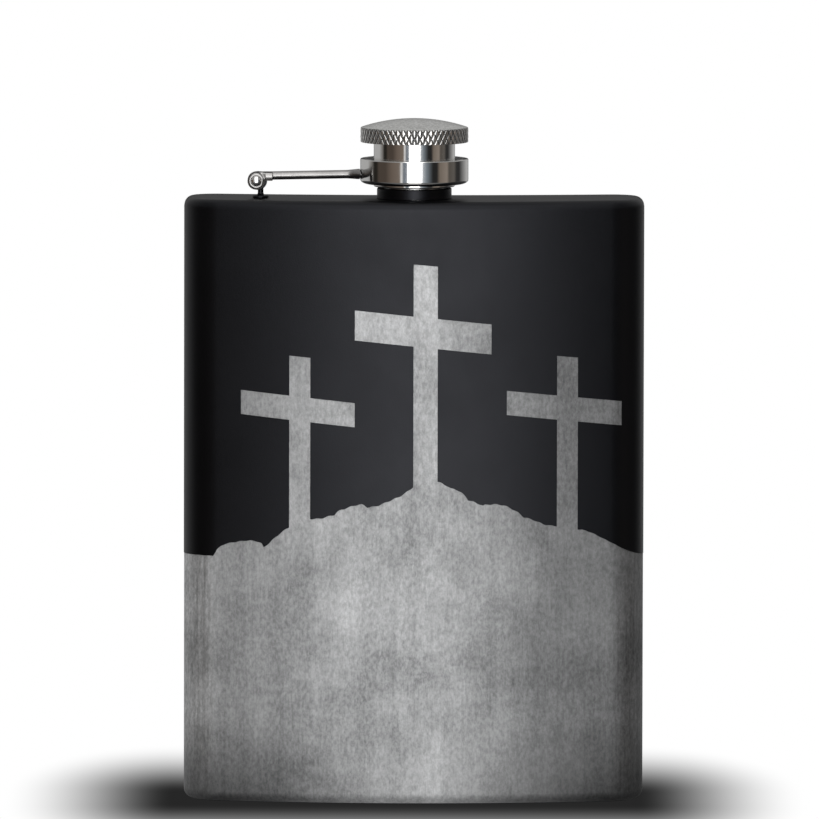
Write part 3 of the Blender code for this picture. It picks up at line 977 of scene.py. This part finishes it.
def coat_plan():
    """Points and triangles of the coat, as lengths round the body and along its profile."""
    rounds, alongs = girth_stops(), height_stops()
    outlines = [cross_outline(*cross) for cross in CROSSES] + [hill_outline()]
    outlines = [closely_spaced(outline, OUTLINE_STEP) for outline in outlines]
    points = []
    for along in alongs:
        for stop in rounds:
            on_edge = along in (alongs[0], alongs[-1]) or stop in (rounds[0], rounds[-1])
            if on_edge or not near_outline((stop, along), outlines, OUTLINE_CLEAR):
                points.append(Vector((stop, along)))
    edges = []
    for outline in outlines:
        first = len(points)
        points += [Vector(point) for point in outline]
        edges += [(first + i, first + (i + 1) % len(outline)) for i in range(len(outline))]
    found, _, faces, _, _, _ = delaunay_2d_cdt(points, edges, [], 0, 1e-8, False)
    kept = []
    for face in faces:
        x, y = sum((found[i] for i in face), Vector((0, 0))) / 3
        if y > alongs[0] and not any(inside(outline, x, y) for outline in outlines):
            kept.append(tuple(face))
    return found, kept


def seam_key(point):
    """A plan point's place, the same for both sides of the seam at the back."""
    at_seam = abs(abs(point.x) - HALF_GIRTH) < 0.01 * MM
    return round(HALF_GIRTH if at_seam else point.x, 7), round(point.y, 7)


def make_coat(black):
    """The powder coat: a thin skin over the body, cut away where it was engraved."""
    plan, faces = coat_plan()
    ends = ((round(PROFILE_LOW, 7), 0), (round(PROFILE_HIGH, 7), NECK_HOLE_RADIUS))
    keys = [seam_key(point) for point in plan]
    kept = {keys[i] for face in faces for i in face}
    rows = [sorted({key for key in keys if abs(key[1] - end) < 2e-7}) for end, _ in ends]
    kept.update(*rows)
    build = bmesh.new()
    sides, holes = [], []
    for depth in (0.0, COAT):
        verts = {key: build.verts.new(skin_point(*key, depth)) for key in sorted(kept)}
        for face in faces:
            build.faces.new([verts[keys[i]] for i in face])
        for row, (_, hole_radius) in zip(rows, ends):
            holes.append(cap_flat(build, [verts[key] for key in row], hole_radius))
        sides.append(verts)
    partner = {sides[0][key]: sides[1][key] for key in kept}
    for edge in [edge for edge in build.edges if edge.is_boundary]:
        a, b = edge.verts
        if a in partner and b in partner:
            build.faces.new((a, b, partner[b], partner[a]))
    bridge(build, holes[1], holes[3])
    mesh = mesh_from(outward(build), "powder_coat")
    new_piece(mesh, "flask", "black_coat", [black])


def make_neck(black, steel):
    """The spout: a coated shoulder, and a bare thread that the coat was masked from."""
    corner = 0.2 * MM
    profile = rounded([
        (NECK_ROOT_RADIUS, NECK_TOP, corner),
        (NECK_ROOT_RADIUS, NECK_BASE[1], 0),
        (NECK_BASE_RADIUS, NECK_BASE[1], corner),
        (NECK_BASE_RADIUS, NECK_BASE[0], 0),
        (NECK_ROOT_RADIUS, NECK_BASE[0], 0),
        (NECK_ROOT_RADIUS, NECK_TAIL, 0.1 * MM),
        (NECK_BORE_RADIUS, NECK_TAIL, 0.1 * MM),
        (NECK_BORE_RADIUS, NECK_TOP, corner),
    ])
    spout = turned_build(profile, 192, NECK_AXIS)
    for face in spout.faces:
        middle = face.calc_center_median()
        reach = math.hypot(middle.x - NECK_AXIS.x, middle.y - NECK_AXIS.y)
        low = middle.z < NECK_AXIS.z + NECK_BASE[1] + 0.05 * MM
        coated = low and reach > NECK_ROOT_RADIUS + 0.02 * MM
        face.material_index = 0 if coated else 1
    ridge = helix_build(NECK_ROOT_RADIUS - THREAD_SINK, NECK_CREST_RADIUS, *NECK_THREAD)
    for face in ridge.faces:
        face.material_index = 1
    mesh = joined("spout", [spout, ridge])
    new_piece(mesh, "flask", "black_coat", [black, steel], "neck")


def make_hinge_post(black):
    """The eye, its stem and the weld at its foot, under the same coat."""
    base = SEAT_GAP + NECK_AXIS.z - HINGE.z
    stem_top = -PIN_RADIUS * 2
    fillet = 0.55 * MM
    profile = [(0, stem_top), (STEM_RADIUS, stem_top), (STEM_RADIUS, base + FOOT + fillet)]
    for cos, sin in quarter_turn(6, first=1):
        profile.append((STEM_RADIUS + fillet * (1 - cos), base + FOOT + fillet * (1 - sin)))
    profile += [(FOOT_RADIUS - 0.15 * MM, base + FOOT), (FOOT_RADIUS, base + FOOT - 0.2 * MM)]
    profile += [(FOOT_RADIUS, base), (0, base)]
    centre = HINGE + Vector((STEM_OFFSET, 0, 0))
    stem = turned("stem", profile, centre, closed=False, steps=64)
    eye_centre = HINGE + Vector((EYE_OFFSET, 0, 0))
    eye = cylinder(EYE_RADIUS, -EYE_HALF_LENGTH, EYE_HALF_LENGTH, "Y", eye_centre)
    hole = cylinder(PIN_HOLE_RADIUS, -3 * EYE_HALF_LENGTH, 3 * EYE_HALF_LENGTH, "Y", HINGE)
    whole = worked(eye, [("UNION", stem), ("DIFFERENCE", hole)])
    mesh = softened("hinge_eye", whole, EYE_VOXEL, 3)
    new_piece(mesh, "flask", "black_coat", [black], "hinge_post")


def make_hinge_pin(polished):
    """The rivet: a shank with a low domed head at each end."""
    upper = [
        (PIN_HEAD_RADIUS * sin, PIN_HEAD_START + PIN_HEAD * cos) for cos, sin in quarter_turn(10)
    ]
    upper.append((PIN_RADIUS, PIN_HEAD_START))
    lower = [(r, -z) for r, z in reversed(upper)]
    build = turned_build(upper + lower, 64, Vector(), closed=False)
    bmesh.ops.rotate(build, verts=build.verts, matrix=Matrix.Rotation(math.radians(90), 3, "X"))
    bmesh.ops.translate(build, verts=build.verts, vec=HINGE)
    mesh = mesh_from(build, "hinge_rivet")
    new_piece(mesh, "flask", "polished_steel", [polished], "hinge_pin")


def rod_mesh(start, end):
    """The arm's rod, about the hinge: round, then fanned out to meet the collar."""
    stations, sides = 60, 48
    build = bmesh.new()
    rings = []
    for i in range(stations + 1):
        x = start + (end - start) * i / stations
        flare = max(0.0, 1 - (end - x) / FLARE_LENGTH)
        half_width = ROD_RADIUS + (FLARE_HALF_WIDTH - ROD_RADIUS) * flare**2
        half_height = ROD_RADIUS + (FLARE_HALF_HEIGHT - ROD_RADIUS) * flare
        z = ROD_RISE + ROD_DROP * (x - start) / (end - start)
        ring = []
        for k in range(sides):
            angle = math.tau * k / sides
            at = Vector((x, half_width * math.cos(angle), z + half_height * math.sin(angle)))
            ring.append(build.verts.new(HINGE + at))
        rings.append(ring)
    loft(build, rings, capped=True)
    return mesh_from(outward(build), "rod")


def fork_mesh():
    """Both cheeks and the bridge between them as one block, before its slot is cut."""
    end = BRIDGE_START + BRIDGE
    low = CHEEK_RADIUS - 2 * ROD_RADIUS
    last = math.tau + math.asin(low / CHEEK_RADIUS)
    outline = []
    for angle in spaced(math.pi / 2, last, math.radians(4)):
        outline.append((CHEEK_RADIUS * math.cos(angle), CHEEK_RADIUS * math.sin(angle)))
    outline += [(end, low), (end, CHEEK_RADIUS)]
    build = bmesh.new()
    corners = [HINGE + Vector((x, -CHEEK_END, z)) for x, z in outline]
    side = build.faces.new([build.verts.new(corner) for corner in corners])
    grown = bmesh.ops.extrude_face_region(build, geom=[side])
    moved = [item for item in grown["geom"] if isinstance(item, bmesh.types.BMVert)]
    bmesh.ops.translate(build, verts=moved, vec=(0, 2 * CHEEK_END, 0))
    return mesh_from(outward(build), "fork")


def cheek_drop(at):
    """How far a cheek's face falls away: a half-round ring, turning into the rod."""
    middle, half = (CHEEK_RADIUS + PIN_HOLE_RADIUS) / 2, (CHEEK_RADIUS - PIN_HOLE_RADIUS) / 2
    ring = min(1.0, abs(math.hypot(at.x, at.z) - middle) / half) ** 2
    bar = min(1.0, abs(at.z - CHEEK_RADIUS + ROD_RADIUS) / ROD_RADIUS) ** 2
    share = min(1.0, max(0.0, (at.x - 0.6 * CHEEK_RADIUS) / (0.5 * CHEEK_RADIUS)))
    return CHEEK_CROWN * (ring + (bar - ring) * share)


def make_arm(drawn):
    """The fork round the eye, the rod, and the flare brazed to the collar."""
    rod = rod_mesh(BRIDGE_START + BRIDGE / 2, ARM_REACH - COLLAR_RADIUS + 1.2 * MM)
    slot = cylinder(BRIDGE_START, -CHEEK_START, CHEEK_START, "Y", HINGE)
    hole = cylinder(PIN_HOLE_RADIUS, -2 * CHEEK_END, 2 * CHEEK_END, "Y", HINGE)
    seat = cylinder(COLLAR_RADIUS + BRAZE_GAP, 0, 20 * MM, "Z", NECK_AXIS, steps=192)
    changes = [("DIFFERENCE", slot), ("UNION", rod), ("DIFFERENCE", hole), ("DIFFERENCE", seat)]
    mesh = softened("swing_arm", worked(fork_mesh(), changes), ARM_VOXEL, 4)
    for vertex in mesh.vertices:
        at = vertex.co - HINGE
        if CHEEK_END - 0.06 * MM < abs(at.y) and at.x < BRIDGE_START + BRIDGE:
            vertex.co.y -= math.copysign(cheek_drop(at), at.y)
    new_piece(mesh, "arm", "polished_steel", [drawn], "cap_arm")


def make_collar(polished):
    """The cup that keeps the cap on the arm, with a rounded lower corner."""
    bottom, top = COLLAR_HEIGHTS
    edge = 0.1 * MM
    corner = []
    for cos, sin in quarter_turn(12):
        r = COLLAR_RADIUS - COLLAR_CORNER_WIDTH * (1 - cos)
        corner.append((r, bottom + COLLAR_CORNER_HEIGHT * (1 - sin), 0))
    seat = RING_BOTTOM - SEAT_GAP
    above_corner = bottom + COLLAR_CORNER_HEIGHT + 0.05 * MM
    profile = [
        (COLLAR_RADIUS, top, edge * 2),
        (COLLAR_RADIUS, above_corner, 0),
        *corner,
        (COLLAR_HOLE_RADIUS, bottom, edge),
        (COLLAR_HOLE_RADIUS, bottom + COLLAR_FLOOR, edge),
        (COLLAR_CAVITY_RADIUS, bottom + COLLAR_FLOOR, 0),
        (COLLAR_CAVITY_RADIUS, seat, 0),
        (RING_SEAT_RADIUS, seat, 0),
        (RING_SEAT_RADIUS, top, 0.05 * MM),
    ]
    turned_piece("collar_cup", profile, "arm", "polished_steel", polished, "captive_collar")


def make_retaining_ring(polished):
    """The flat ring pressed into the collar's mouth."""
    top = COLLAR_HEIGHTS[1]
    edge = 0.07 * MM
    profile = [
        (RING_RADIUS, top, edge),
        (RING_RADIUS, RING_BOTTOM, edge),
        (COLLAR_HOLE_RADIUS, RING_BOTTOM, edge),
        (COLLAR_HOLE_RADIUS, top, edge),
    ]
    turned_piece("collar_ring", profile, "arm", "polished_steel", polished, "retaining_ring")


def make_seal(rubber):
    """The soft disc that the neck's rim presses against."""
    low, high = SEAL_HEIGHTS
    edge = 0.15 * MM
    corners = [(0, high, 0), (SEAL_RADIUS, high, edge), (SEAL_RADIUS, low, edge), (0, low, 0)]
    mesh = turned("seal_disc", rounded(corners), NECK_AXIS, closed=False, steps=128)
    new_piece(mesh, "seal", "seal_rubber", [rubber], "cap_seal")


def make_sleeve(polished):
    """The polished shank, its rolled lip and the flange that the collar holds."""
    bottom, top = SLEEVE_HEIGHTS
    low, high = FLANGE_HEIGHTS
    edge = 0.08 * MM
    profile = [
        (SLEEVE_RADIUS, top, edge),
        (SLEEVE_RADIUS, high, 0),
        (FLANGE_RADIUS, high, edge),
        (FLANGE_RADIUS, low, edge),
        (SLEEVE_RADIUS, low, 0),
        (SLEEVE_RADIUS, bottom, 0.25 * MM),
        (SLEEVE_BORE_RADIUS, bottom, 0.2 * MM),
        (SLEEVE_BORE_RADIUS, top, edge),
    ]
    turned_piece("shank_sleeve", profile, "cap", "polished_steel", polished, "cap_sleeve")


def make_insert(steel):
    """The threaded cup pressed into the sleeve."""
    edge = 0.1 * MM
    profile = rounded([
        (0, INSERT_TOP, 0),
        (INSERT_RADIUS, INSERT_TOP, edge),
        (INSERT_RADIUS, INSERT_BOTTOM, edge),
        (INSERT_BORE_RADIUS, INSERT_BOTTOM, edge),
        (INSERT_BORE_RADIUS, INSERT_CEILING, 0),
        (0, INSERT_CEILING, 0),
    ])
    cup = turned_build(profile, 192, NECK_AXIS, closed=False)
    ridge = helix_build(INSERT_BORE_RADIUS + THREAD_SINK, INSERT_CREST_RADIUS, *INSERT_THREAD)
    mesh = joined("thread_cup", [cup, ridge])
    new_piece(mesh, "cap", "plain_steel", [steel], "thread_insert")


def groove(phase):
    """How deep a groove is at a phase: long slopes, and a sharp notch along its middle."""
    off = abs(phase - round(phase))
    return KNURL_SLOPE * (1 - 2 * off) + KNURL_NOTCH * max(0.0, 1 - off / NOTCH_WIDTH)


def make_head(satin, knurled):
    """The grip: a rim with crossed knurling cut into it, under a shallow satin dome."""
    low, high = HEAD_HEIGHTS
    pitch = math.tau * HEAD_RADIUS / KNURLS
    chord = HEAD_RADIUS - HEAD_EDGE
    rise = DOME_TOP - high
    ball = (chord**2 + rise**2) / (2 * rise)
    span = math.asin(chord / ball)
    points = []
    for i in range(25):
        angle = span * i / 24
        points.append((ball * math.sin(angle), DOME_TOP - ball * (1 - math.cos(angle))))
    first_row = len(points)
    rows = spaced(high - HEAD_EDGE, low + HEAD_EDGE, (high - low) / KNURL_ROWS)
    points += [(HEAD_RADIUS, z) for z in rows]
    points += [(HEAD_RADIUS - HEAD_EDGE * 0.5, low + HEAD_EDGE * 0.2), (chord - 0.1 * MM, low)]
    last_row = first_row + len(rows)
    points += rounded([
        (SOCKET_RADIUS, low, 0.15 * MM),
        (SOCKET_RADIUS, SOCKET_TOP, 0),
        (0, SOCKET_TOP, 0),
    ])

    def relief(angle, index):
        if not first_row - 1 <= index <= last_row:
            return 0
        z = points[index][1]
        across = angle * KNURLS / math.tau
        climb = (z - low) * math.tan(KNURL_LEAN) / pitch
        cut = max(groove(across + climb), groove(across - climb))
        fade = 0.45 if index in (first_row - 1, last_row) else 1
        return cut * fade

    build = turned_build(points, KNURLS * KNURL_STEPS, NECK_AXIS, closed=False, relief=relief)
    for face in build.faces:
        middle = face.calc_center_median() - NECK_AXIS
        on_rim = middle.xy.length > chord - KNURL_DEPTH and low < middle.z < high - HEAD_EDGE / 2
        face.material_index = 1 if on_rim else 0
    mesh = mesh_from(build, "knurled_head")
    new_piece(mesh, "cap", "satin_steel", [satin, knurled], "cap_head")


# ---------------- stage


def lay_sheet(name, size, height, finish):
    """A flat stage sheet under the flask."""
    build = bmesh.new()
    bmesh.ops.create_grid(build, x_segments=2, y_segments=2, size=0.5)
    bmesh.ops.scale(build, verts=build.verts, vec=(*size, 1))
    bmesh.ops.translate(build, verts=build.verts, vec=(0, 0, height))
    sheet = placed(name, mesh_from(build, name))
    sheet.data.materials.append(finish.made)
    sheet.visible_diffuse = False
    return sheet


def make_floor():
    """A white floor that stays bright by its own glow, with a painted soft shadow round the
    flask's foot.
    """
    paper = Finish("floor_paper", 0.0, 0.9, 0.0)
    away = paper.place
    for operation, value in (
        ("ADD", (SHADOW_TO_LEFT, 0, 0)),
        ("ABSOLUTE", (0, 0, 0)),
        ("SUBTRACT", (WIDTH / 2, THICKNESS / 2, 0)),
        ("MAXIMUM", (0, 0, 0)),
        ("MULTIPLY", (1 / SHADOW_REACH[0], 1 / SHADOW_REACH[1], 0)),
        ("LENGTH", (0, 0, 0)),
    ):
        away = paper.vector(operation, away, value)
    # Painted shadow: the floor's glow dimmed near the flask's foot
    soft = paper.maths("POWER", paper.spread(away, 0, 1, kind="SMOOTHSTEP"), SHADOW_FALLOFF)
    paper.feed(
        Specular_IOR_Level=0.0,
        Emission_Color=(1, 1, 1),
        Emission_Strength=paper.spread(soft, 0, 1, SHADOW_DARKEST, 1),
    )
    lay_sheet("floor", (8, 8), -0.05 * MM, paper).visible_glossy = False


def make_foot_shade():
    """A painted reflection of the floor's shadow, as the steel above it mirrors it: a dark sheet
    with a painted glow down its middle, that only reflections see.
    """
    dark = Finish("shade_paper", 0.01, 0.5, 0.0)
    aside = dark.maths("ABSOLUTE", dark.axes(dark.place)["X"])
    # Painted reflection: a glow brighter in the sheet's middle, dimmer to the sides
    dark.feed(Emission_Color=(1, 1, 1), Emission_Strength=dark.spread(aside, *PAINTED_REFLECTION_GLOW))
    size = (WIDTH + 2 * SHADOW_REACH[0], THICKNESS + 2 * SHADOW_REACH[1])
    shade = lay_sheet("foot_shade", size, -0.03 * MM, dark)
    shade.visible_camera = False
    shade.visible_shadow = False


def make_world():
    """Softboxes and dark flags round the flask, a soft light above, white behind it all."""
    world = bpy.data.worlds.new("studio")
    bpy.context.scene.world = world
    world.use_nodes = True
    studio = Nodes(world.node_tree)
    studio.tree.nodes.clear()
    right, back, height = studio.axes(studio.add("TexCoord").outputs["Generated"])

    bearing = studio.maths("ARCTAN2", right, studio.maths("MULTIPLY", back, -1))
    ramp = studio.add("ValToRGB")
    studio.fill(ramp, Fac=studio.spread(bearing, -math.pi, math.pi))
    stops = ramp.color_ramp.elements
    for i, (degrees, colour) in enumerate(STUDIO):
        at = (degrees + 180) / 360
        stop = stops[i] if i < 2 else stops.new(at)
        stop.position = at
        colour = colour if isinstance(colour, tuple) else (colour,) * 3
        stop.color = (*(c / SOFTBOX for c in colour), 1)
    eye_level = studio.vector("MULTIPLY", ramp.outputs["Color"], (SOFTBOX,) * 3)

    def beyond(value, limits, first, second):
        """The first light before the limits, the second one after them."""
        return studio.mix(studio.spread(value, *limits, kind="SMOOTHSTEP"), first, second)

    ceiling = beyond(studio.maths("ABSOLUTE", right), (0.25, 0.42), FRONT_CEILING, SIDE_CEILING)
    ceiling = beyond(back, (-0.2, 0.5), ceiling, BACK_CEILING)
    ceiling = beyond(height, (0.85, 0.97), ceiling, ZENITH)
    light = beyond(height, (0.14, 0.3), eye_level, ceiling)
    light = beyond(studio.maths("MULTIPLY", height, -1), (0.16, 0.4), light, BELOW)
    choose = studio.add("MixShader")
    studio.fill(choose, Fac=studio.add("LightPath").outputs["Is Camera Ray"])
    for socket, colour in ((choose.inputs[1], light), (choose.inputs[2], (1, 1, 1))):
        background = studio.fill(studio.add("Background"), Color=colour)
        studio.put(socket, background.outputs[0])
    studio.fill(studio.add("OutputWorld"), Surface=choose.outputs[0])


def make_camera():
    """A long lens a little above the flask, looking slightly down on it."""
    data = bpy.data.cameras.new("camera")
    data.lens = LENS
    data.sensor_width = SENSOR_WIDTH
    data.clip_end = 20
    camera = placed("camera", data)
    pitch = math.atan2(CAMERA_HEIGHT - CAMERA_AIM[1], CAMERA_DISTANCE)
    camera.matrix_world = (
        Matrix.Translation((CAMERA_AIM[0], -CAMERA_DISTANCE, CAMERA_HEIGHT))
        @ Matrix.Rotation(math.pi / 2 - pitch, 4, "X")
        @ Matrix.Rotation(CAMERA_ROLL, 4, "Z")
    )
    bpy.context.scene.camera = camera


def main():
    bpy.context.scene.view_settings.view_transform = "Standard"
    make_camera()
    make_world()
    make_floor()
    make_foot_shade()
    steel = brushed_body_steel()
    black = black_powder_coat()
    polished = polished_steel()
    plain = plain_steel()
    make_steel_body(steel)
    make_coat(black)
    make_neck(black, plain)
    make_hinge_post(black)
    make_hinge_pin(polished)
    make_arm(drawn_steel())
    make_collar(polished)
    make_retaining_ring(polished)
    make_seal(seal_rubber())
    make_sleeve(polished)
    make_insert(plain)
    make_head(satin_steel(), knurled_steel())


main()
